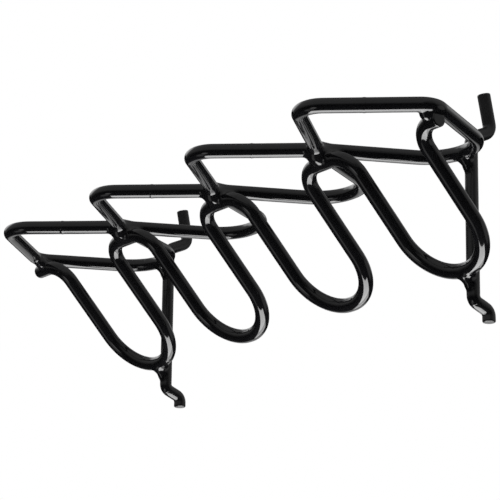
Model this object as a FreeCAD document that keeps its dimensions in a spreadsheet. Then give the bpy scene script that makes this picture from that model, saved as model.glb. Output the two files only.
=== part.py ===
"""Welded wire tool rack that hangs on a pegboard.

Four closed wire rings lie side by side in one level plane.  One long front wire
weaves under their side corners and drops back to the board in four loops.  Two
hook wires carry everything: each has a post against the board, a peg that turns
up behind it at the top and a short crook that enters a lower hole.

Frame, in millimetres: +X runs along the board, +Y points into the board and +Z
is up.  The origin is half way between the two hooks, on the front face of the
board, level with the centre plane of the rings.
"""
import FreeCAD
import Part
import math
import os
import Sketcher

RING_COUNT = 4
ALONG_BOARD = FreeCAD.Vector(1, 0, 0)
UPWARD = FreeCAD.Vector(0, 0, 1)
ORIGIN_POINT = (-1, 1)
LEVEL_AXIS = -1
UPRIGHT_AXIS = -2

# Driving dimensions: name, value, what it is.
DIMENSIONS = [
    ("pitch", 76.2, "ring to ring, three holes of a 25.4 mm board"),
    ("ring_wire", 6.5, "diameter of the ring wire with its coating"),
    ("front_wire", 6.8, "diameter of the front wire"),
    ("hook_wire", 5.9, "diameter of the hook wires, to pass a 6.35 mm hole"),
    ("set_down", 1.4, "how far crossing wires are pressed together when welded"),
    ("side_gap", 0.05, "gap left between the flats of neighbouring rings"),
    ("ring_front", 43.3, "side corners forward to the front corner of a ring"),
    ("ring_back", 50.5, "side corners back to the back bar of a ring"),
    ("back_half", 13.2, "half width of the back bar, corner to corner"),
    ("apex_bend", 10.6, "bend radius at the front corner"),
    ("side_bend", 9.0, "bend radius at the side corners"),
    ("back_bend", 20.0, "bend radius at the back corners"),
    ("loop_half", 22.1, "half width of a loop of the front wire"),
    ("loop_bend", 21.6, "bend radius at the bottom of a loop"),
    ("loop_slope", 45.7, "degrees that the loops fall below level"),
    ("loop_setback", 3.4, "side corners back to the humps of the front wire"),
    ("hump_bend", 10.5, "bend radius at the top of the front wire"),
    ("stub_right", 15.0, "loop leg out to the cut end of the front wire at +X"),
    ("stub_left", 19.0, "loop leg out to the cut end of the front wire at -X"),
    ("peg_offset", 11.65, "post back to the foot of the peg"),
    ("peg_foot", 12.7, "height of the foot of the peg"),
    ("shoulder", 7.3, "height where the post leans back to the peg"),
    ("peg_length", 17.3, "foot to tip of the peg"),
    ("peg_lean", 12.4, "degrees that the peg leans back over the post"),
    ("hook_bend", 4.2, "bend radius at the top of a hook"),
    ("heel", 66.0, "depth where the post leans back to the crook"),
    ("crook_offset", 8.95, "post back to the crook"),
    ("crook_step", 3.4, "drop of the slanted run into the crook"),
    ("crook_drop", 5.0, "length of the crook below that run"),
    ("crook_bend", 3.4, "bend radius at the bottom of a hook"),
    ("end_round", 0.7, "rounding of the cut wire ends"),
    ("bead_radius", 5.0, "radius of the round weld bead under a side corner"),
    ("bead_forward", 0.5, "how far its centre sits in front of the side corner"),
    ("bead_drop", 0.2, "how far its centre sits below the middle of the wires"),
    ("bead_shift", 4.6, "how far the end beads sit in from the ring corners"),
    ("web_start", 1.0, "wire centre down to the top of a weld web"),
    ("web_depth", 6.5, "length of a weld web down the post"),
    ("web_top", 5.2, "half width of a weld web at the wire"),
    ("web_foot", 1.4, "half width of a weld web at its foot"),
    ("seam_rise", 0.35, "height of a ring's butt weld above the wire"),
    ("seam_half", 1.1, "half length of a ring's butt weld"),
]

doc = FreeCAD.newDocument("pegboard_rack")
sheet = doc.addObject("Spreadsheet::Sheet", "dims")
for row, (alias, value, meaning) in enumerate(DIMENSIONS, start=1):
    sheet.set("A%d" % row, alias)
    sheet.set("B%d" % row, str(value))
    sheet.setAlias("B%d" % row, alias)
    sheet.set("C%d" % row, meaning)
doc.recompute()


def value(expression):
    """Number that an expression over the sheet works out to."""
    return float(sheet.evalExpression(expression))


def fix_point(sketch, point, across, up):
    """Hold one sketch point at two expressions; "0" puts it on the axis."""
    for kind, axis, expression in (("X", UPRIGHT_AXIS, across), ("Y", LEVEL_AXIS, up)):
        if expression == "0":
            sketch.addConstraint(Sketcher.Constraint("PointOnObject", *point, axis))
            continue
        distance = Sketcher.Constraint("Distance" + kind, *ORIGIN_POINT, *point, value(expression))
        sketch.setExpression("Constraints[%d]" % sketch.addConstraint(distance), expression)


def rounded_corner(before, corner, after, radius):
    """Anticlockwise arc that rounds a corner, and where it leaves the two runs."""
    towards = [(end - corner).normalize() for end in (before, after)]
    half_angle = towards[0].getAngle(towards[1]) / 2
    tangents = [corner + direction * (radius / math.tan(half_angle)) for direction in towards]
    bisector = (towards[0] + towards[1]).normalize()
    centre = corner + bisector * (radius / math.sin(half_angle))
    angles = [math.atan2(point.y - centre.y, point.x - centre.x) for point in tangents]
    turns_left = towards[0].cross(towards[1]).z < 0
    start, end = angles if turns_left else reversed(angles)
    circle = Part.Circle(centre, UPWARD, radius)
    end += 2 * math.pi if end < start else 0
    return Part.ArcOfCircle(circle, start, end), tangents, turns_left


def draw_route(sketch, stops):
    """Straight runs with tangent bends along (across, up, bend radius) stops.

    The stops are expressions over the sheet.  The first and last have no bend.
    """
    points = [FreeCAD.Vector(value(across), value(up), 0) for across, up, _ in stops]
    bends = [
        rounded_corner(points[i - 1], points[i], points[i + 1], value(stops[i][2]))
        for i in range(1, len(stops) - 1)
    ]
    starts = [points[0]] + [tangents[1] for _, tangents, _ in bends]
    ends = [tangents[0] for _, tangents, _ in bends] + [points[-1]]
    runs = [sketch.addGeometry(Part.LineSegment(a, b)) for a, b in zip(starts, ends)]
    fix_point(sketch, (runs[0], 1), *stops[0][:2])
    for i, (arc, _, turns_left) in enumerate(bends):
        bend = sketch.addGeometry(arc)
        first, last = (1, 2) if turns_left else (2, 1)
        sketch.addConstraint(Sketcher.Constraint("Tangent", runs[i], 2, bend, first))
        sketch.addConstraint(Sketcher.Constraint("Tangent", bend, last, runs[i + 1], 1))
        across, up, radius = stops[i + 1]
        size = sketch.addConstraint(Sketcher.Constraint("Radius", bend, value(radius)))
        sketch.setExpression("Constraints[%d]" % size, radius)
        corner = sketch.addGeometry(Part.Point(points[i + 1]), True)
        fix_point(sketch, (corner, 1), across, up)
        for run in runs[i:i + 2]:
            sketch.addConstraint(Sketcher.Constraint("PointOnObject", corner, 1, run))
    fix_point(sketch, (runs[-1], 2), *stops[-1][:2])


def bent_wire(label, plane, section_plane, diameter, stops):
    """Round bar bent along the stops of one origin plane, from local zero."""
    body = doc.addObject("PartDesign::Body", label)
    planes = {feature.Role: feature for feature in body.Origin.OriginFeatures}
    path = body.newObject("Sketcher::SketchObject", label + "_path")
    path.AttachmentSupport = [(planes[plane], "")]
    path.MapMode = "FlatFace"
    draw_route(path, stops)
    section = body.newObject("Sketcher::SketchObject", label + "_section")
    section.AttachmentSupport = [(planes[section_plane], "")]
    section.MapMode = "FlatFace"
    circle = Part.Circle(FreeCAD.Vector(), FreeCAD.Vector(0, 0, 1), value(diameter) / 2)
    outline = section.addGeometry(circle)
    section.addConstraint(Sketcher.Constraint("Coincident", outline, 3, *ORIGIN_POINT))
    size = section.addConstraint(Sketcher.Constraint("Diameter", outline, value(diameter)))
    section.setExpression("Constraints[%d]" % size, diameter)
    doc.recompute()
    pipe = body.newObject("PartDesign::AdditivePipe", label + "_pipe")
    pipe.Profile = section
    pipe.Spine = path
    doc.recompute()
    return body


def round_ends(body, radius):
    """Round off the two cut ends of an open wire, its only flat faces."""
    pipe = body.Tip
    ends = [face for face in pipe.Shape.Faces if isinstance(face.Surface, Part.Plane)]
    rims = [edge for face in ends for edge in face.Edges]
    names = ["Edge%d" % (i + 1) for i, edge in enumerate(pipe.Shape.Edges)
             if any(edge.isSame(rim) for rim in rims)]
    rounding = body.newObject("PartDesign::Fillet", body.Name + "_ends")
    rounding.Base = (pipe, names)
    rounding.setExpression("Radius", radius)
    doc.recompute()


def place(item, across, into_board, up, axis=UPWARD, angle="0"):
    """Put an object at three expressions, turned about an axis."""
    item.Placement = FreeCAD.Placement(FreeCAD.Vector(), FreeCAD.Rotation(axis, value(angle)))
    for direction, expression in (("x", across), ("y", into_board), ("z", up)):
        item.setExpression("Placement.Base." + direction, expression)


# Places that several parts share.
POST_Y = "-dims.hook_wire / 2"
BACK_BAR_Y = POST_Y + " - (dims.hook_wire + dims.ring_wire) / 2 + dims.set_down"
SIDE_Y = BACK_BAR_Y + " - dims.ring_back"
LOOP_FOOT_Y = POST_Y + " - (dims.hook_wire + dims.front_wire) / 2 + dims.set_down"
HUMP_Y = SIDE_Y + " + dims.loop_setback"
HUMP_Z = "-(dims.ring_wire + dims.front_wire) / 2 + dims.set_down"
LOOP_LENGTH = "((%s) - (%s)) / cos(dims.loop_slope)" % (LOOP_FOOT_Y, HUMP_Y)
LOOP_FOOT_Z = "%s - (%s) * sin(dims.loop_slope)" % (HUMP_Z, LOOP_LENGTH)
RING_X = ["%s * dims.pitch" % (i - (RING_COUNT - 1) / 2) for i in range(RING_COUNT)]
HOOK_X = {"left": RING_X[0], "right": RING_X[-1]}
JOINT_X = ["%s * dims.pitch" % (i - RING_COUNT / 2) for i in range(RING_COUNT + 1)]


def ring_bar(number, across):
    """One closed ring, shaped like a home plate, starting mid back bar."""
    half = "dims.pitch / 2"
    depth = "-dims.ring_back"
    tip = "-(dims.ring_back + dims.ring_front)"
    stops = [
        ("0", "0", None),
        ("dims.back_half", "0", "dims.back_bend"),
        (half, depth, "dims.side_bend"),
        ("0", tip, "dims.apex_bend"),
        ("-" + half, depth, "dims.side_bend"),
        ("-dims.back_half", "0", "dims.back_bend"),
        ("0", "0", None),
    ]
    bar = bent_wire("ring_bar_%d" % number, "XY_Plane", "YZ_Plane", "dims.ring_wire", stops)
    place(bar, across, BACK_BAR_Y, "0")
    return bar


def front_bar():
    """The long front wire, drawn from its cut end at +X towards -X."""
    stops = [("0", "0", None)]
    for i in range(RING_COUNT):
        near = "-(dims.stub_right + %d * dims.pitch)" % i
        far = near + " - 2 * dims.loop_half"
        stops.append((near, "0", "dims.hump_bend"))
        stops.append((near, LOOP_LENGTH, "dims.loop_bend"))
        stops.append((far, LOOP_LENGTH, "dims.loop_bend"))
        stops.append((far, "0", "dims.hump_bend"))
    stops.append((far + " - dims.stub_left", "0", None))
    bar = bent_wire("front_bar", "XY_Plane", "YZ_Plane", "dims.front_wire", stops)
    start = RING_X[-1] + " + dims.loop_half + dims.stub_right"
    place(bar, start, HUMP_Y, HUMP_Z, ALONG_BOARD, "-dims.loop_slope")
    round_ends(bar, "dims.end_round")
    return bar


def hook(side, across):
    """Hook wire, drawn from the end of the crook up to the tip of the peg."""
    foot = "-(dims.heel + dims.crook_step + dims.crook_drop)"
    back = "dims.crook_offset"
    post = "-" + back
    peg = post + " + dims.peg_offset"
    stops = [
        ("0", "0", None),
        ("0", "dims.crook_drop", "dims.crook_bend"),
        (post, "dims.crook_drop + dims.crook_step", "dims.crook_bend"),
        (post, "dims.shoulder - " + foot, "dims.hook_bend"),
        (peg, "dims.peg_foot - " + foot, "dims.hook_bend"),
        (peg + " - dims.peg_length * sin(dims.peg_lean)",
         "dims.peg_foot - %s + dims.peg_length * cos(dims.peg_lean)" % foot, None),
    ]
    wire = bent_wire("hook_%s" % side, "YZ_Plane", "XY_Plane", "dims.hook_wire", stops)
    place(wire, across, "%s + %s" % (POST_Y, back), foot)
    round_ends(wire, "dims.end_round")
    return wire


def less(base, tool):
    """The first object less the second."""
    cut = doc.addObject("Part::Cut", "cut")
    cut.Base = base
    cut.Tool = tool
    doc.recompute()
    return cut


def node(label, base, tools):
    """Finished piece: the base less every tool, under the piece's own name."""
    for tool in tools:
        base = less(base, tool)
    base.Label = label
    return base


def side_flat(joint, direction):
    """Block that squares off a ring's side corner where its neighbour is welded."""
    block = doc.addObject("Part::Box", "side_flat")
    for size in ("Length", "Width", "Height"):
        block.setExpression(size, "3 * dims.ring_wire")
    start = "-dims.side_gap / 2" if direction > 0 else "dims.side_gap / 2 - 3 * dims.ring_wire"
    place(block, "%s + %s" % (joint, start), SIDE_Y + " - 1.5 * dims.ring_wire", "-1.5 * dims.ring_wire")
    return block


def joint_bead(joint):
    """Weld metal that fills the corners between two rings and the front wire."""
    bead = doc.addObject("Part::Sphere", "bead")
    bead.setExpression("Radius", "dims.bead_radius")
    place(bead, joint, SIDE_Y + " - dims.bead_forward", "(%s) / 2 - dims.bead_drop" % HUMP_Z)
    return bead


def post_web(across, wire_z):
    """Weld metal that tapers from a wire down the front of a post."""
    web = doc.addObject("Part::Cone", "web")
    web.setExpression("Radius1", "dims.web_foot")
    web.setExpression("Radius2", "dims.web_top")
    web.setExpression("Height", "dims.web_depth")
    place(web, across, POST_Y + " - dims.hook_wire / 2", "%s - dims.web_depth" % wire_z)
    return web


def ring_seam(across):
    """Raised butt weld half way along the +X front bar of a ring."""
    seam = doc.addObject("Part::Torus", "seam")
    seam.setExpression("Radius1", "dims.ring_wire / 2 + dims.seam_rise - dims.seam_half")
    seam.setExpression("Radius2", "dims.seam_half")
    run = FreeCAD.Vector(value("dims.pitch / 2"), value("dims.ring_front"), 0)
    place(seam, across + " + dims.pitch / 4", SIDE_Y + " - dims.ring_front / 2", "0",
          UPWARD.cross(run), "90")
    return seam


def write_steps(parts):
    """Check every object, then write one STEP file for each finished piece."""
    doc.recompute()
    for item in doc.Objects:
        if "Invalid" in item.State or "Error" in item.State:
            raise RuntimeError("%s failed: %s" % (item.Label, item.State))
    for part in parts:
        if part.Shape.isNull() or not part.Shape.isValid():
            raise RuntimeError("%s has no valid shape" % part.Label)
        if len(part.Shape.Solids) != 1:
            raise RuntimeError("%s is not one solid" % part.Label)
    os.makedirs("parts", exist_ok=True)
    for part in parts:
        part.Shape.exportStep("parts/%s.step" % part.Label)


bars = [ring_bar(i + 1, across) for i, across in enumerate(RING_X)]
front = front_bar()
hooks = {side: hook(side, across) for side, across in HOOK_X.items()}
HOOKED_RINGS = {"left": bars[0], "right": bars[-1]}

pieces = [node("hook_wire_" + side, wire, []) for side, wire in hooks.items()]
for i, bar in enumerate(bars):
    flats = [side_flat(JOINT_X[i], -1)] if i > 0 else []
    flats += [side_flat(JOINT_X[i + 1], 1)] if i < RING_COUNT - 1 else []
    posts = [hooks[side] for side in hooks if HOOKED_RINGS[side] == bar]
    pieces.append(node("ring_%d" % (i + 1), bar, flats + posts))
    pieces.append(node("ring_butt_weld_%d" % (i + 1), ring_seam(RING_X[i]), [bar]))
pieces.append(node("front_wire", front, bars + list(hooks.values())))
for i, joint in enumerate(JOINT_X):
    inward = (i == 0) - (i == RING_COUNT)
    neighbours = bars[max(i - 1, 0):i + 1]
    bead = joint_bead("%s + %d * dims.bead_shift" % (joint, inward))
    pieces.append(node("corner_weld_%d" % (i + 1), bead, neighbours + [front]))
for side, wire in hooks.items():
    upper = post_web(HOOK_X[side], "-dims.web_start")
    pieces.append(node("ring_post_weld_" + side, upper, [HOOKED_RINGS[side], wire]))
    lower = post_web(HOOK_X[side], LOOP_FOOT_Z + " - dims.web_start")
    pieces.append(node("loop_post_weld_" + side, lower, [front, wire]))
write_steps(pieces)
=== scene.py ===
"""Pegboard tool rack: welded steel wire under one black powder coat.

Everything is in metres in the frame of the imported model: +X along the board, +Y
into the board, +Z up, origin on the board's face between the two hooks.  Each CAD
node is replaced by a finer piece of the same size: swept wires with the slight
faults of bent and coated wire, and weld metal that flows into the wires.
"""
import math

import bpy
import numpy as np
from mathutils import Matrix, Vector


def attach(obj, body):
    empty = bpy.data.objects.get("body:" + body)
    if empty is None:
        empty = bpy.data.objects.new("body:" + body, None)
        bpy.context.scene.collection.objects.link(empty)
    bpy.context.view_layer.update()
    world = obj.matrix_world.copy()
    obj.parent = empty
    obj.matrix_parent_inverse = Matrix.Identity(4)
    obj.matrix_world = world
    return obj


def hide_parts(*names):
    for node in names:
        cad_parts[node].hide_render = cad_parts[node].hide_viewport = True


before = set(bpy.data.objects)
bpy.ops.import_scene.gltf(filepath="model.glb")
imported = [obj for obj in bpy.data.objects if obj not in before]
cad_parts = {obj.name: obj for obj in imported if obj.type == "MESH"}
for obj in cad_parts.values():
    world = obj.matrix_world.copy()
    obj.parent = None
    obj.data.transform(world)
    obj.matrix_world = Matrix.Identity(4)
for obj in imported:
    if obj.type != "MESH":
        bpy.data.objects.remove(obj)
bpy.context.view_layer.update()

MM = 0.001

# ---------------------------------------------------------------- driving sizes
PITCH = 76.2 * MM              # ring to ring
RING_COUNT = 4
RING_RADIUS = 3.25 * MM        # half the ring wire
FRONT_RADIUS = 3.4 * MM        # half the front wire
HOOK_RADIUS = 2.95 * MM        # half the hook wire
SET_DOWN = 1.4 * MM            # how far welded wires are pressed together
RING_FRONT = 43.3 * MM         # side corners to front corner
RING_BACK = 50.5 * MM          # side corners to back bar
BACK_HALF = 13.2 * MM          # half width of the back bar
APEX_BEND = 10.6 * MM
SIDE_BEND = 9.0 * MM
BACK_BEND = 20.0 * MM
LOOP_HALF = 22.1 * MM          # half width of a loop
LOOP_BEND = 21.6 * MM
LOOP_SLOPE = math.radians(45.7)
LOOP_SETBACK = 3.4 * MM
HUMP_BEND = 10.5 * MM
STUB_RIGHT = 15.0 * MM         # loop leg out to the cut end at +X
STUB_LEFT = 19.0 * MM          # and at -X
END_ROUND = 0.7 * MM

POST_Y = -HOOK_RADIUS
BACK_BAR_Y = POST_Y - HOOK_RADIUS - RING_RADIUS + SET_DOWN
SIDE_Y = BACK_BAR_Y - RING_BACK
LOOP_FOOT_Y = POST_Y - HOOK_RADIUS - FRONT_RADIUS + SET_DOWN
HUMP_Y = SIDE_Y + LOOP_SETBACK
HUMP_Z = -RING_RADIUS - FRONT_RADIUS + SET_DOWN
LOOP_LENGTH = (LOOP_FOOT_Y - HUMP_Y) / math.cos(LOOP_SLOPE)
LOOP_FOOT_Z = HUMP_Z - LOOP_LENGTH * math.sin(LOOP_SLOPE)
RING_X = [(i - (RING_COUNT - 1) / 2) * PITCH for i in range(RING_COUNT)]
JOINT_X = [(i - RING_COUNT / 2) * PITCH for i in range(RING_COUNT + 1)]
HOOK_X = {"left": RING_X[0], "right": RING_X[-1]}

# Hook profile as (distance behind the post, z, bend radius), crook end to peg tip.
PEG_LEAN = math.radians(12.4)
PEG_LENGTH = 17.3 * MM
PEG_FOOT = (11.65 * MM, 12.7 * MM)
HOOK_PROFILE = [
    (8.95 * MM, -74.4 * MM, 0),
    (8.95 * MM, -69.4 * MM, 3.4 * MM),
    (0, -66.0 * MM, 3.4 * MM),
    (0, 7.3 * MM, 4.2 * MM),
    (*PEG_FOOT, 4.2 * MM),
    (PEG_FOOT[0] - PEG_LENGTH * math.sin(PEG_LEAN), PEG_FOOT[1] + PEG_LENGTH * math.cos(PEG_LEAN), 0),
]

AROUND = 48                    # faces round a wire
STRAIGHT_STEP = 1.3 * MM       # face length on a straight run
BEND_STEP = 0.6 * MM           # face length in a bend
BEND_OVAL = 0.012              # how much a bend flattens the wire
COAT_WAVE = 0.03 * MM          # depth of the slow waves in the coat
COAT_WAVE_LENGTH = 9 * MM
WAVES = 7                      # plane waves added up in slow unevenness
FADE_ROUNDS = 6                # passes that fade a bend's flattening in and out

WELD_CELL = 0.45 * MM          # grid that weld metal is shaped on
WELD_SINK = 0.02 * MM          # how far weld pieces lie under bare wire
WELD_RIPPLE = 0.03 * MM        # depth of the ripples on weld metal
WELD_RIPPLE_LENGTH = 3.2 * MM
WELD_REACH = 8 * MM            # how far outside its space a weld looks for wires
COARSE = 3                     # cells in a step of the first, rough pass
NEAR_CELLS = 5                 # cells either side of the surface in the fine pass
PROBE = 0.02 * MM              # step that a distance's slope is measured over
PULL_ROUNDS = 4                # times the mesh is pulled onto the surface
RIPPLE_HEIGHT = 0.5 * MM       # height over the bare wires where ripples are full
BEAD_FILL = 0.8                # fillet of a bead as a share of that between wires
WELD_MARGIN = 1 * MM           # room left round a weld's space

# First seed of the unevenness of each kind of piece.
RING_SEED, FRONT_SEED, HOOK_SEED = 10, 20, 30
CORNER_SEED, POST_SEED, BUTT_SEED = 40, 50, 60

# Corner welds, between the side corners of the rings and the front wire.
BEAD_INSET = 4.6 * MM          # how far the end beads sit in from the ring corners
BEAD_FORWARD = 0.5 * MM        # how far a bead's centre sits in front of the corner
BEAD_DROP = 0.2 * MM           # how far it sits below the middle of the wires
END_BEAD = (3.0 * MM, 2.0 * MM)     # radius and fillet of the two end beads
MIDDLE_BEAD = (3.8 * MM, 4.0 * MM)  # radius and fillet between two rings
CORNER_SPACE = (15 * MM, 17 * MM, 10 * MM)  # half sizes of the box it is shaped in

# Post welds: web and drip under a wire, as (across, towards the board, up, radius)
# from the front of the post at the height of the wire.
WEB_TOP = (0, -0.6 * MM, -2.5 * MM, 3.6 * MM)
WEB_FOOT = (0.2 * MM, 1.2 * MM, -7.2 * MM, 1.3 * MM)
DRIP = (-0.5 * MM, 0.2 * MM, -6.6 * MM, 0.9 * MM)
POST_FILL = 2.2 * MM
POST_SPACE = (13 * MM, 9 * MM, 14 * MM)
POST_SPACE_DROP = 2 * MM

# Butt welds: a low rib round a ring's front bar.
RIB_SUNK = 0.7 * MM            # centre of the rib's section, under the wire's surface
RIB_RADIUS = 0.72 * MM
BUTT_FILL = 0.6 * MM
BUTT_SPACE = (5 * MM,) * 3


# ------------------------------------------------------------------- wire shapes
def rounded_route(stops, closed, straight_step):
    """Points, and how bent the wire is at each, along runs joined by tangent arcs."""
    count = len(stops)
    corners = [Vector(point) for point, _ in stops]
    pieces = []
    for i in range(count):
        if not closed and i in (0, count - 1):
            pieces.append(([corners[i]], 0))
            continue
        here, radius = corners[i], stops[i][1]
        towards = [(corners[(i + side) % count] - here).normalized() for side in (-1, 1)]
        half_angle = towards[0].angle(towards[1]) / 2
        centre = here + (towards[0] + towards[1]).normalized() * (radius / math.sin(half_angle))
        spokes = [here + t * (radius / math.tan(half_angle)) - centre for t in towards]
        turn = math.pi - 2 * half_angle
        side = (spokes[1] - spokes[0] * math.cos(turn)) / math.sin(turn)
        steps = max(4, round(radius * turn / BEND_STEP))
        angles = [turn * k / steps for k in range(steps + 1)]
        pieces.append(([centre + spokes[0] * math.cos(a) + side * math.sin(a) for a in angles], 1))
    points, bend = [], []
    for i, (arc, bent) in enumerate(pieces):
        if i or closed:
            start = pieces[i - 1][0][-1]
            steps = max(1, round((arc[0] - start).length / straight_step))
            for k in range(1, steps):
                points.append(start.lerp(arc[0], k / steps))
                bend.append(0)
        points += arc
        bend += [bent] * len(arc)
    return np.array(points), np.array(bend, float)


def smooth_along(values, closed):
    """Average each value with its neighbours, to fade a step in and out."""
    for _ in range(FADE_ROUNDS):
        if closed:
            values = (np.roll(values, 1) + 2 * values + np.roll(values, -1)) / 4
        else:
            padded = np.pad(values, 1, mode="edge")
            values = (padded[:-2] + 2 * values + padded[2:]) / 4
    return values


def slow_waves(points, seed, length):
    """Smooth values between -1 and 1 over space, for unevenness of that wavelength."""
    rng = np.random.default_rng(seed)
    total = np.zeros(len(points))
    for _ in range(WAVES):
        direction = rng.normal(size=3)
        direction *= 2 * math.pi / (length * rng.uniform(0.7, 1.5) * np.linalg.norm(direction))
        total += np.sin(points @ direction + rng.uniform(0, 2 * math.pi))
    return total / WAVES


def new_piece(name, vertices, faces, node, slot):
    """Mesh object that stands for one CAD node and rides on the part."""
    mesh = bpy.data.meshes.new(name)
    mesh.from_pydata(vertices.tolist(), [], faces)
    mesh.update()
    mesh.shade_smooth()
    piece = bpy.data.objects.new(name, mesh)
    bpy.context.scene.collection.objects.link(piece)
    piece.data.materials.append(COATS[slot])
    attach(piece, "root")
    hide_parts(node)
    return piece


def end_rings(last, centre, outward):
    """Rings that close a cut wire: a flat face with a rounded edge, centre first."""
    spoke = last - centre
    radius = np.linalg.norm(spoke, axis=1).mean()
    face = 1 - END_ROUND / radius
    rings = [centre + spoke * face * share for share in (0.12, 0.35, 0.6, 0.8)]
    for k in range(7):
        turn = math.pi / 2 * k / 6
        inset, depth = END_ROUND * (1 - math.sin(turn)), END_ROUND * (1 - math.cos(turn))
        rings.append(centre + spoke * (1 - inset / radius) - outward * depth)
    return np.array(rings)


def sweep(wire, seed):
    """Vertices and faces of a round wire along its flat route."""
    route, normal, radius, closed = wire["route"], wire["normal"], wire["radius"], wire["closed"]
    if closed:
        tangents = np.roll(route, -1, 0) - np.roll(route, 1, 0)
    else:
        tangents = np.gradient(route, axis=0)
    tangents /= np.linalg.norm(tangents, axis=1)[:, None]
    sideways = np.cross(normal, tangents)
    angles = np.arange(AROUND) * 2 * math.pi / AROUND
    flat = radius * (1 - BEND_OVAL * smooth_along(wire["bend"], closed))
    rings = (route[:, None]
             + sideways[:, None] * (flat[:, None] * np.cos(angles))[..., None]
             + normal * (radius * np.sin(angles))[None, :, None])
    if not closed:
        start, end = route[0], route[-1]
        clear = np.minimum(np.linalg.norm(route - start, axis=1), np.linalg.norm(route - end, axis=1))
        rings = np.concatenate([
            end_rings(rings[0], start, -tangents[0]),
            rings[clear > END_ROUND * 1.01],
            end_rings(rings[-1], end, tangents[-1])[::-1]])
    count = len(rings)
    vertices = rings.reshape(-1, 3)
    outward = vertices - np.repeat(rings.mean(1), AROUND, 0)
    outward /= np.linalg.norm(outward, axis=1)[:, None]
    waves = slow_waves(vertices, seed, COAT_WAVE_LENGTH)
    vertices = vertices + outward * (COAT_WAVE * (waves - 1) / 2)[:, None]
    faces = []
    for i in range(count if closed else count - 1):
        a, b = i * AROUND, ((i + 1) % count) * AROUND
        for j in range(AROUND):
            k = (j + 1) % AROUND
            faces.append((a + j, a + k, b + k, b + j))
    if not closed:
        faces.append(tuple(reversed(range(AROUND))))
        faces.append(tuple((count - 1) * AROUND + j for j in range(AROUND)))
    return vertices, faces


# ------------------------------------------------------------------- weld shapes
def wire_distance(points, wire, centre, reach):
    """Distance of points to the surface of a wire, looking only near a centre."""
    route = wire["sparse"]
    best = np.full(len(points), 1.0)
    for a, b in zip(route, np.roll(route, -1, 0) if wire["closed"] else route[1:]):
        run = b - a
        length = run @ run
        share = min(max((centre - a) @ run / length, 0), 1)
        if np.linalg.norm(centre - a - share * run) > reach:
            continue
        share = np.clip((points - a) @ run / length, 0, 1)
        gap = points - a - share[:, None] * run
        best = np.minimum(best, np.einsum("ij,ij->i", gap, gap))
    best = np.sqrt(best) - wire["radius"]
    if not wire["closed"]:
        for end, inner in ((route[0], route[1]), (route[-1], route[-2])):
            outward = (end - inner) / np.linalg.norm(end - inner)
            beyond = (points - end) @ outward + END_ROUND
            beside = np.linalg.norm(points - end, axis=1) > 3 * wire["radius"]
            best = np.where(beside, best, np.maximum(best, beyond))
    return best


def melt(a, b, reach):
    """Smaller of two distances, with the crease between them filled in."""
    share = np.maximum(reach - np.abs(a - b), 0) / reach
    return np.minimum(a, b) - share * share * reach / 4


def near_field(distance, grid):
    """Distances on a grid, worked out finely only where the surface can be near."""
    middle = COARSE // 2
    coarse = grid[middle::COARSE, middle::COARSE, middle::COARSE]
    rough = distance(coarse.reshape(-1, 3)).reshape(coarse.shape[:3])
    for axis in range(3):
        rough = rough.repeat(COARSE, axis)
        missing = grid.shape[axis] - rough.shape[axis]
        if missing > 0:
            rough = np.concatenate([rough, rough.take([-1] * missing, axis)], axis)
        rough = rough.take(range(grid.shape[axis]), axis)
    close = np.abs(rough) < NEAR_CELLS * WELD_CELL
    rough[close] = distance(grid[close])
    return rough


def surface_of(distance, centre, half):
    """Closed mesh where a distance function is zero, shaped on a regular grid."""
    counts = [int(math.ceil(2 * h / WELD_CELL)) + 1 for h in half]
    axes = [centre[i] + (np.arange(n) - (n - 1) / 2) * WELD_CELL for i, n in enumerate(counts)]
    grid = np.stack(np.meshgrid(*axes, indexing="ij"), -1)
    field = near_field(distance, grid)
    total = np.zeros([n - 1 for n in counts] + [3])
    hits = np.zeros([n - 1 for n in counts])
    corners = [(i, j, k) for i in (0, 1) for j in (0, 1) for k in (0, 1)]

    def corner_values(array, corner):
        return array[tuple(slice(c, n - 1 + c) for c, n in zip(corner, counts))]

    for start in corners:
        for axis in range(3):
            if start[axis]:
                continue
            end = tuple(1 if i == axis else c for i, c in enumerate(start))
            a, b = corner_values(field, start), corner_values(field, end)
            crossed = (a < 0) != (b < 0)
            share = np.where(crossed, a / np.where(crossed, a - b, 1), 0)
            step = corner_values(grid, start) + share[..., None] * (
                corner_values(grid, end) - corner_values(grid, start))
            total += np.where(crossed[..., None], step, 0)
            hits += crossed
    used = hits > 0
    index = np.full(used.shape, -1)
    index[used] = np.arange(used.sum())
    vertices = total[used] / hits[used][:, None]
    faces = []
    for axis in range(3):
        u, v = (axis + 1) % 3, (axis + 2) % 3
        inner = [slice(None)] * 3
        inner[u], inner[v] = slice(1, counts[u] - 1), slice(1, counts[v] - 1)
        first, second = list(inner), list(inner)
        first[axis], second[axis] = slice(0, counts[axis] - 1), slice(1, counts[axis])
        a, b = field[tuple(first)] < 0, field[tuple(second)] < 0
        cells = []
        for du, dv in ((0, 0), (1, 0), (1, 1), (0, 1)):
            part = [slice(None)] * 3
            part[u], part[v] = slice(du, counts[u] - 2 + du), slice(dv, counts[v] - 2 + dv)
            cells.append(index[tuple(part)])
        for mask, order in ((a & ~b, (0, 1, 2, 3)), (b & ~a, (3, 2, 1, 0))):
            faces += np.stack([cells[i][mask] for i in order], -1).tolist()
    for _ in range(PULL_ROUNDS):
        value = distance(vertices)
        slope = np.stack([
            (distance(vertices + step) - distance(vertices - step)) / (2 * PROBE)
            for step in np.eye(3) * PROBE], -1)
        steep = np.maximum((slope * slope).sum(1), 0.25)
        vertices = vertices - slope * (np.clip(value, -WELD_CELL, WELD_CELL) / steep)[:, None]
    return vertices, faces


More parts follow.
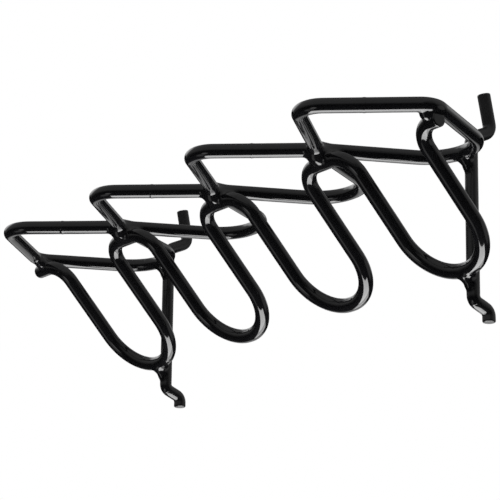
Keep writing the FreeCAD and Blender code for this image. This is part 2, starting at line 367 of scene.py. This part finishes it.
def weld(node, centre, half, wires, beads, fill, seed):
    """Weld metal round a centre: nearby wires and beads melted into one surface."""
    centre, half = np.array(centre), np.array(half)
    reach = half.max() + WELD_REACH

    def distance(points):
        bare = [wire_distance(points, wire, centre, reach) for wire in wires]
        total = bare[0]
        for other in bare[1:]:
            total = melt(total, other, fill)
        for shape in beads:
            total = melt(total, shape(points), fill * BEAD_FILL)
        proud = np.clip((np.minimum.reduce(bare) - total) / RIPPLE_HEIGHT, 0, 1)
        total = total + WELD_RIPPLE * proud * slow_waves(points, seed, WELD_RIPPLE_LENGTH)
        outer = (np.linalg.norm((points - centre) / half, axis=1) - 1) * half.min()
        return np.maximum(total + WELD_SINK, outer)

    vertices, faces = surface_of(distance, centre, half + WELD_MARGIN)
    return new_piece("fused_" + node, vertices, faces, node, "weld_coat")


def ball(centre, radius):
    """Distance function of a round bead."""
    centre = np.array(centre)
    return lambda points: np.linalg.norm(points - centre, axis=1) - radius


def taper(top, top_radius, foot, foot_radius):
    """Distance function of a rounded cone between two points."""
    top, foot = np.array(top), np.array(foot)
    run = foot - top

    def distance(points):
        share = np.clip((points - top) @ run / (run @ run), 0, 1)
        gap = np.linalg.norm(points - top - share[:, None] * run, axis=1)
        return gap - (top_radius + share * (foot_radius - top_radius))
    return distance


# --------------------------------------------------------------------- materials
def node_of(tree, kind, **settings):
    """New shader node with its properties or unlinked inputs set."""
    made = tree.nodes.new(kind)
    for name, setting in settings.items():
        if hasattr(made, name):
            setattr(made, name, setting)
        else:
            made.inputs[name.replace("_", " ")].default_value = setting
    return made


def noise_of(tree, where, scale, detail=2.0, rough=0.5):
    """Noise over the object's own space, with that many features a metre."""
    made = node_of(tree, "ShaderNodeTexNoise", Scale=scale, Detail=detail, Roughness=rough)
    tree.links.new(where, made.inputs["Vector"])
    return made.outputs["Fac"]


def remap(tree, source, low, high, to_low, to_high):
    """Carry one range of values smoothly to another, held at both ends."""
    made = node_of(tree, "ShaderNodeMapRange", interpolation_type="SMOOTHSTEP")
    for name, setting in zip(("From Min", "From Max", "To Min", "To Max"), (low, high, to_low, to_high)):
        made.inputs[name].default_value = setting
    tree.links.new(source, made.inputs["Value"])
    return made.outputs["Result"]


def maths(tree, operation, a, b):
    """Join two values, or a value and a number."""
    made = node_of(tree, "ShaderNodeMath", operation=operation)
    for socket, source in zip(made.inputs, (a, b)):
        if isinstance(source, (int, float)):
            socket.default_value = source
        else:
            tree.links.new(source, socket)
    return made.outputs[0]


def bump(tree, height, depth, before=None):
    """Surface normal from a height between 0 and 1 that stands for a real depth."""
    made = node_of(tree, "ShaderNodeBump", Distance=depth, Strength=1.0)
    tree.links.new(height, made.inputs["Height"])
    if before is not None:
        tree.links.new(before, made.inputs["Normal"])
    return made.outputs["Normal"]


def coat(name, tint, gloss, peel, by_height=None):
    """Black powder coat: orange peel, fine grain, faint cloudiness and a few nibs."""
    material = bpy.data.materials.new(name)
    material.use_nodes = True
    tree = material.node_tree
    tree.nodes.clear()
    shader = node_of(tree, "ShaderNodeBsdfPrincipled", IOR=1.5)
    output = node_of(tree, "ShaderNodeOutputMaterial")
    tree.links.new(shader.outputs[0], output.inputs[0])
    where = node_of(tree, "ShaderNodeTexCoord").outputs["Object"]

    clouds = maths(tree, "MULTIPLY", noise_of(tree, where, 55, 3), 0.65)
    grain = maths(tree, "MULTIPLY", noise_of(tree, where, 2600, 2, 0.6), 0.35)
    mottle = maths(tree, "ADD", clouds, grain)
    colour = node_of(tree, "ShaderNodeValToRGB")
    colour.color_ramp.elements[0].position, colour.color_ramp.elements[1].position = 0.3, 0.72
    colour.color_ramp.elements[0].color = [c * 0.75 for c in tint] + [1]
    colour.color_ramp.elements[1].color = [c * 1.45 for c in tint] + [1]
    tree.links.new(mottle, colour.inputs[0])
    tree.links.new(colour.outputs[0], shader.inputs["Base Color"])

    rough = remap(tree, mottle, 0.3, 0.7, gloss * 0.8, gloss * 1.3)
    if by_height is not None:
        up = node_of(tree, "ShaderNodeSeparateXYZ")
        tree.links.new(where, up.inputs[0])
        for low, high, extra in by_height:
            share = remap(tree, up.outputs["Z"], low, high, 0, extra)
            worn = maths(tree, "MULTIPLY", share, remap(tree, mottle, 0.25, 0.75, 0.8, 1.2))
            rough = maths(tree, "ADD", rough, worn)
    tree.links.new(rough, shader.inputs["Roughness"])

    nibs = node_of(tree, "ShaderNodeTexVoronoi", Scale=150.0)
    tree.links.new(where, nibs.inputs["Vector"])
    specks = remap(tree, nibs.outputs["Distance"], 0.02, 0.07, 1, 0)
    normal = bump(tree, noise_of(tree, where, 420, 1.5), peel)
    normal = bump(tree, specks, 0.02 * MM, normal)
    tree.links.new(normal, shader.inputs["Normal"])
    return material


COATS = {
    "wire_coat": coat("gloss_black_coat", (0.0032, 0.0032, 0.0036), 0.075, 0.006 * MM),
    "weld_coat": coat("pooled_black_coat", (0.0032, 0.0032, 0.0036), 0.075, 0.006 * MM),
    "hook_coat": coat("satin_black_coat", (0.0045, 0.0045, 0.0048), 0.10, 0.008 * MM,
                      by_height=((-60 * MM, -45 * MM, 0.10), (6 * MM, 13 * MM, 0.30))),
}


# ---------------------------------------------------------------------- the rack
def wire_of(stops, radius, normal, closed):
    """What a bent wire is made from, for sweeping it and for melting welds to it."""
    route, bend = rounded_route(stops, closed, STRAIGHT_STEP)
    sparse, _ = rounded_route(stops, closed, 1.0)
    return {"route": route, "bend": bend, "sparse": sparse, "radius": radius,
            "normal": np.array(normal, float), "closed": closed}


def on_slope(across, along):
    """Point in the leaning plane of the front wire."""
    return (across, HUMP_Y + along * math.cos(LOOP_SLOPE), HUMP_Z - along * math.sin(LOOP_SLOPE))


def ring_stops(x):
    """Corners of a ring with their bends."""
    return [
        ((x + BACK_HALF, BACK_BAR_Y, 0), BACK_BEND),
        ((x + PITCH / 2, SIDE_Y, 0), SIDE_BEND),
        ((x, SIDE_Y - RING_FRONT, 0), APEX_BEND),
        ((x - PITCH / 2, SIDE_Y, 0), SIDE_BEND),
        ((x - BACK_HALF, BACK_BAR_Y, 0), BACK_BEND),
    ]


def front_stops():
    """Corners of the front wire with their bends, from its +X end."""
    stops = [(on_slope(RING_X[-1] + LOOP_HALF + STUB_RIGHT, 0), 0)]
    for x in reversed(RING_X):
        stops += [
            (on_slope(x + LOOP_HALF, 0), HUMP_BEND),
            (on_slope(x + LOOP_HALF, LOOP_LENGTH), LOOP_BEND),
            (on_slope(x - LOOP_HALF, LOOP_LENGTH), LOOP_BEND),
            (on_slope(x - LOOP_HALF, 0), HUMP_BEND),
        ]
    return stops + [(on_slope(RING_X[0] - LOOP_HALF - STUB_LEFT, 0), 0)]


def hook_stops(x):
    """Corners of a hook with their bends, from the end of its crook."""
    return [((x, POST_Y + back, z), bend) for back, z, bend in HOOK_PROFILE]


def corner_weld(number, joint, inward, wires):
    """Bead under the side corners of one or two rings, melted to the front wire."""
    centre = (joint + inward * BEAD_INSET, SIDE_Y - BEAD_FORWARD, HUMP_Z / 2 - BEAD_DROP)
    radius, fill = END_BEAD if inward else MIDDLE_BEAD
    weld("corner_weld_%d" % number, centre, CORNER_SPACE, wires, [ball(centre, radius)], fill,
         CORNER_SEED + number - 1)


def post_weld(node, x, z, wires, seed):
    """Web and drip down the front of a post from the wire that is welded there."""
    face = np.array((x, POST_Y - HOOK_RADIUS, z))
    centre = face - (0, 0, POST_SPACE_DROP)
    shapes = [taper(face + WEB_TOP[:3], WEB_TOP[3], face + WEB_FOOT[:3], WEB_FOOT[3]),
              ball(face + DRIP[:3], DRIP[3])]
    weld(node, centre, POST_SPACE, wires, shapes, POST_FILL, seed)


def butt_weld(number, x, ring):
    """Low rib half way along the +X front bar, where the ring was closed."""
    centre = np.array((x + PITCH / 4, SIDE_Y - RING_FRONT / 2, 0))
    along = np.array((PITCH / 2, RING_FRONT, 0)) / math.hypot(PITCH / 2, RING_FRONT)

    def rib(points):
        gap = points - centre
        deep = gap @ along
        out = np.linalg.norm(gap - deep[:, None] * along, axis=1) - (RING_RADIUS - RIB_SUNK)
        return np.hypot(deep, out) - RIB_RADIUS

    weld("ring_butt_weld_%d" % number, centre, BUTT_SPACE, [ring], [rib], BUTT_FILL,
         BUTT_SEED + number - 1)


LOOP_NORMAL = (0, math.sin(LOOP_SLOPE), math.cos(LOOP_SLOPE))
rings = [wire_of(ring_stops(x), RING_RADIUS, (0, 0, 1), True) for x in RING_X]
front = wire_of(front_stops(), FRONT_RADIUS, LOOP_NORMAL, False)
hooks = {side: wire_of(hook_stops(x), HOOK_RADIUS, (1, 0, 0), False) for side, x in HOOK_X.items()}
hooked = {"left": rings[0], "right": rings[-1]}

for i, wire in enumerate(rings):
    new_piece("coated_ring_%d" % (i + 1), *sweep(wire, RING_SEED + i), "ring_%d" % (i + 1), "wire_coat")
new_piece("coated_front_wire", *sweep(front, FRONT_SEED), "front_wire", "wire_coat")
for i, (side, wire) in enumerate(hooks.items()):
    new_piece("coated_hook_" + side, *sweep(wire, HOOK_SEED + i), "hook_wire_" + side, "hook_coat")

for i, joint in enumerate(JOINT_X):
    inward = (i == 0) - (i == RING_COUNT)
    corner_weld(i + 1, joint, inward, rings[max(i - 1, 0):i + 1] + [front])
for i, (side, x) in enumerate(HOOK_X.items()):
    post_weld("ring_post_weld_" + side, x, 0, [hooked[side], hooks[side]], POST_SEED + i)
    post_weld("loop_post_weld_" + side, x, LOOP_FOOT_Z, [front, hooks[side]], POST_SEED + i)
for i, x in enumerate(RING_X):
    butt_weld(i + 1, x, rings[i])


# ------------------------------------------------------------- stage and lighting
SKY_LOW, SKY_HIGH = -0.22, 0.42    # sines of the elevations the sky brightens between
SKY_RADIANCE = 0.50

# Soft glows and shades: azimuth, elevation, angle of the middle, angle of the edge, radiance.
GLOWS = [
    (50, -18, 12, 24, 1.0),
    (-38, -12, 12, 24, 0.5),
    (15, 16, 8, 16, 0.45),
    (97, 31, 8, 20, 1.5),
    (68, 33, 5, 12, 1.2),
    (-176, -42, 5, 13, 1.5),
    (40, 55, 15, 38, -0.25),
    (-92, 12, 15, 32, -0.22),
    (150, -52, 5, 17, 0.7),
    (50, 7, 11, 16, -2),
    (20, 0, 12, 18, -2),
    (80, 2, 12, 18, -2),
]

FLOOR_Z = -0.9
FLOOR_HALF = 40.0
FLOOR_FILL = 1.9               # strength of the light that keeps the floor pale
FLOOR_FILL_SPREAD = math.radians(100)

# The light table under the rack: its near part is brighter than its far part.
TABLE_Z = -0.73
TABLE_TURN = (math.pi, 0, math.radians(40))
TABLE_PARTS = {
    "light_table_near": ((-0.030, 0.145, TABLE_Z), (0.74, 0.46), 8.5),
    "light_table_far": ((-0.332, 0.505, TABLE_Z), (0.74, 0.48), 4),
}


def direction_of(azimuth, elevation):
    """Unit vector; azimuth 0 is +Y and 90 is -X, in degrees."""
    a, e = math.radians(azimuth), math.radians(elevation)
    return Vector((-math.sin(a) * math.cos(e), math.cos(a) * math.cos(e), math.sin(e)))


def studio_sky():
    """World that lights the rack with soft glows on a dim sky, behind a white backdrop."""
    world = bpy.data.worlds.new("studio")
    bpy.context.scene.world = world
    world.use_nodes = True
    tree = world.node_tree
    tree.nodes.clear()
    look = node_of(tree, "ShaderNodeTexCoord").outputs["Generated"]
    height = node_of(tree, "ShaderNodeSeparateXYZ")
    tree.links.new(look, height.inputs[0])
    total = remap(tree, height.outputs["Z"], SKY_LOW, SKY_HIGH, 0, SKY_RADIANCE)
    for azimuth, elevation, middle, edge, radiance in GLOWS:
        towards = node_of(tree, "ShaderNodeVectorMath", operation="DOT_PRODUCT")
        tree.links.new(look, towards.inputs[0])
        towards.inputs[1].default_value = direction_of(azimuth, elevation)
        glow = remap(tree, towards.outputs["Value"], math.cos(math.radians(edge)),
                     math.cos(math.radians(middle)), 0, radiance)
        total = maths(tree, "ADD", total, glow)
    lit = node_of(tree, "ShaderNodeBackground")
    tree.links.new(maths(tree, "MAXIMUM", total, 0.0), lit.inputs["Strength"])
    plain = node_of(tree, "ShaderNodeBackground", Color=(1, 1, 1, 1))
    chosen = node_of(tree, "ShaderNodeMixShader")
    tree.links.new(node_of(tree, "ShaderNodeLightPath").outputs["Is Camera Ray"], chosen.inputs[0])
    tree.links.new(lit.outputs[0], chosen.inputs[1])
    tree.links.new(plain.outputs[0], chosen.inputs[2])
    tree.links.new(chosen.outputs[0], node_of(tree, "ShaderNodeOutputWorld").inputs[0])


def paper():
    """Matt white paper, faintly uneven."""
    material = bpy.data.materials.new("pale_floor")
    material.use_nodes = True
    tree = material.node_tree
    shader = tree.nodes["Principled BSDF"]
    shader.inputs["Roughness"].default_value = 0.85
    where = node_of(tree, "ShaderNodeTexCoord").outputs["Object"]
    shade = node_of(tree, "ShaderNodeValToRGB")
    shade.color_ramp.elements[0].color = (0.86, 0.86, 0.85, 1)
    shade.color_ramp.elements[1].color = (0.92, 0.92, 0.92, 1)
    tree.links.new(noise_of(tree, where, 4, 4), shade.inputs[0])
    tree.links.new(shade.outputs[0], shader.inputs["Base Color"])
    tree.links.new(bump(tree, noise_of(tree, where, 300, 3), 0.1 * MM), shader.inputs["Normal"])
    return material


def add_object(name, data):
    """New object in the scene."""
    made = bpy.data.objects.new(name, data)
    bpy.context.scene.collection.objects.link(made)
    return made


def pale_floor():
    """Wide paper floor that casts no shadow and isn't seen in reflections."""
    corners = [(x * FLOOR_HALF, y * FLOOR_HALF, FLOOR_Z) for x, y in ((-1, -1), (1, -1), (1, 1), (-1, 1))]
    mesh = bpy.data.meshes.new("floor")
    mesh.from_pydata(corners, [], [(0, 1, 2, 3)])
    mesh.materials.append(paper())
    floor = add_object("floor", mesh)
    floor.visible_glossy = floor.visible_shadow = False


def table_light(name, place, size, radiance):
    """Part of the light table, which shines up and isn't seen by the camera."""
    light = bpy.data.lights.new(name, "AREA")
    light.shape = "RECTANGLE"
    light.size, light.size_y = size
    light.energy = radiance * math.pi * size[0] * size[1]
    lamp = add_object(name, light)
    lamp.location, lamp.rotation_euler = place, TABLE_TURN
    lamp.visible_camera = False


def floor_fill():
    """Broad light from above that keeps the floor pale and isn't seen in reflections."""
    light = bpy.data.lights.new("floor_fill", "SUN")
    light.energy, light.angle = FLOOR_FILL, FLOOR_FILL_SPREAD
    add_object("floor_fill", light).visible_glossy = False


studio_sky()
pale_floor()
for name, (place, size, radiance) in TABLE_PARTS.items():
    table_light(name, place, size, radiance)
floor_fill()


# ------------------------------------------------------------------------ camera
AIM = Vector((0.0085, -0.0434, -0.0276))
DISTANCE = 1.0393
AZIMUTH, ELEVATION, ROLL = math.radians(52.94), math.radians(-16.03), math.radians(0.76)
LENS, SENSOR = 163.12, 36
NEAR_CLIP, FAR_CLIP = 0.05, 50


def add_camera():
    """Long lens from below and in front of the +X end."""
    data = bpy.data.cameras.new("camera")
    data.lens, data.sensor_width = LENS, SENSOR
    data.clip_start, data.clip_end = NEAR_CLIP, FAR_CLIP
    level = Vector((math.cos(AZIMUTH), math.sin(AZIMUTH), 0))
    outward = Vector((math.sin(AZIMUTH), -math.cos(AZIMUTH), 0))
    back = outward * math.cos(ELEVATION) + Vector((0, 0, math.sin(ELEVATION)))
    right = level * math.cos(ROLL) + back.cross(level) * math.sin(ROLL)
    facing = Matrix((right, back.cross(right), back)).transposed().to_4x4()
    camera = add_object("camera", data)
    camera.matrix_world = Matrix.Translation(AIM + back * DISTANCE) @ facing
    bpy.context.scene.camera = camera
    bpy.context.scene.view_settings.view_transform = "Standard"


add_camera()
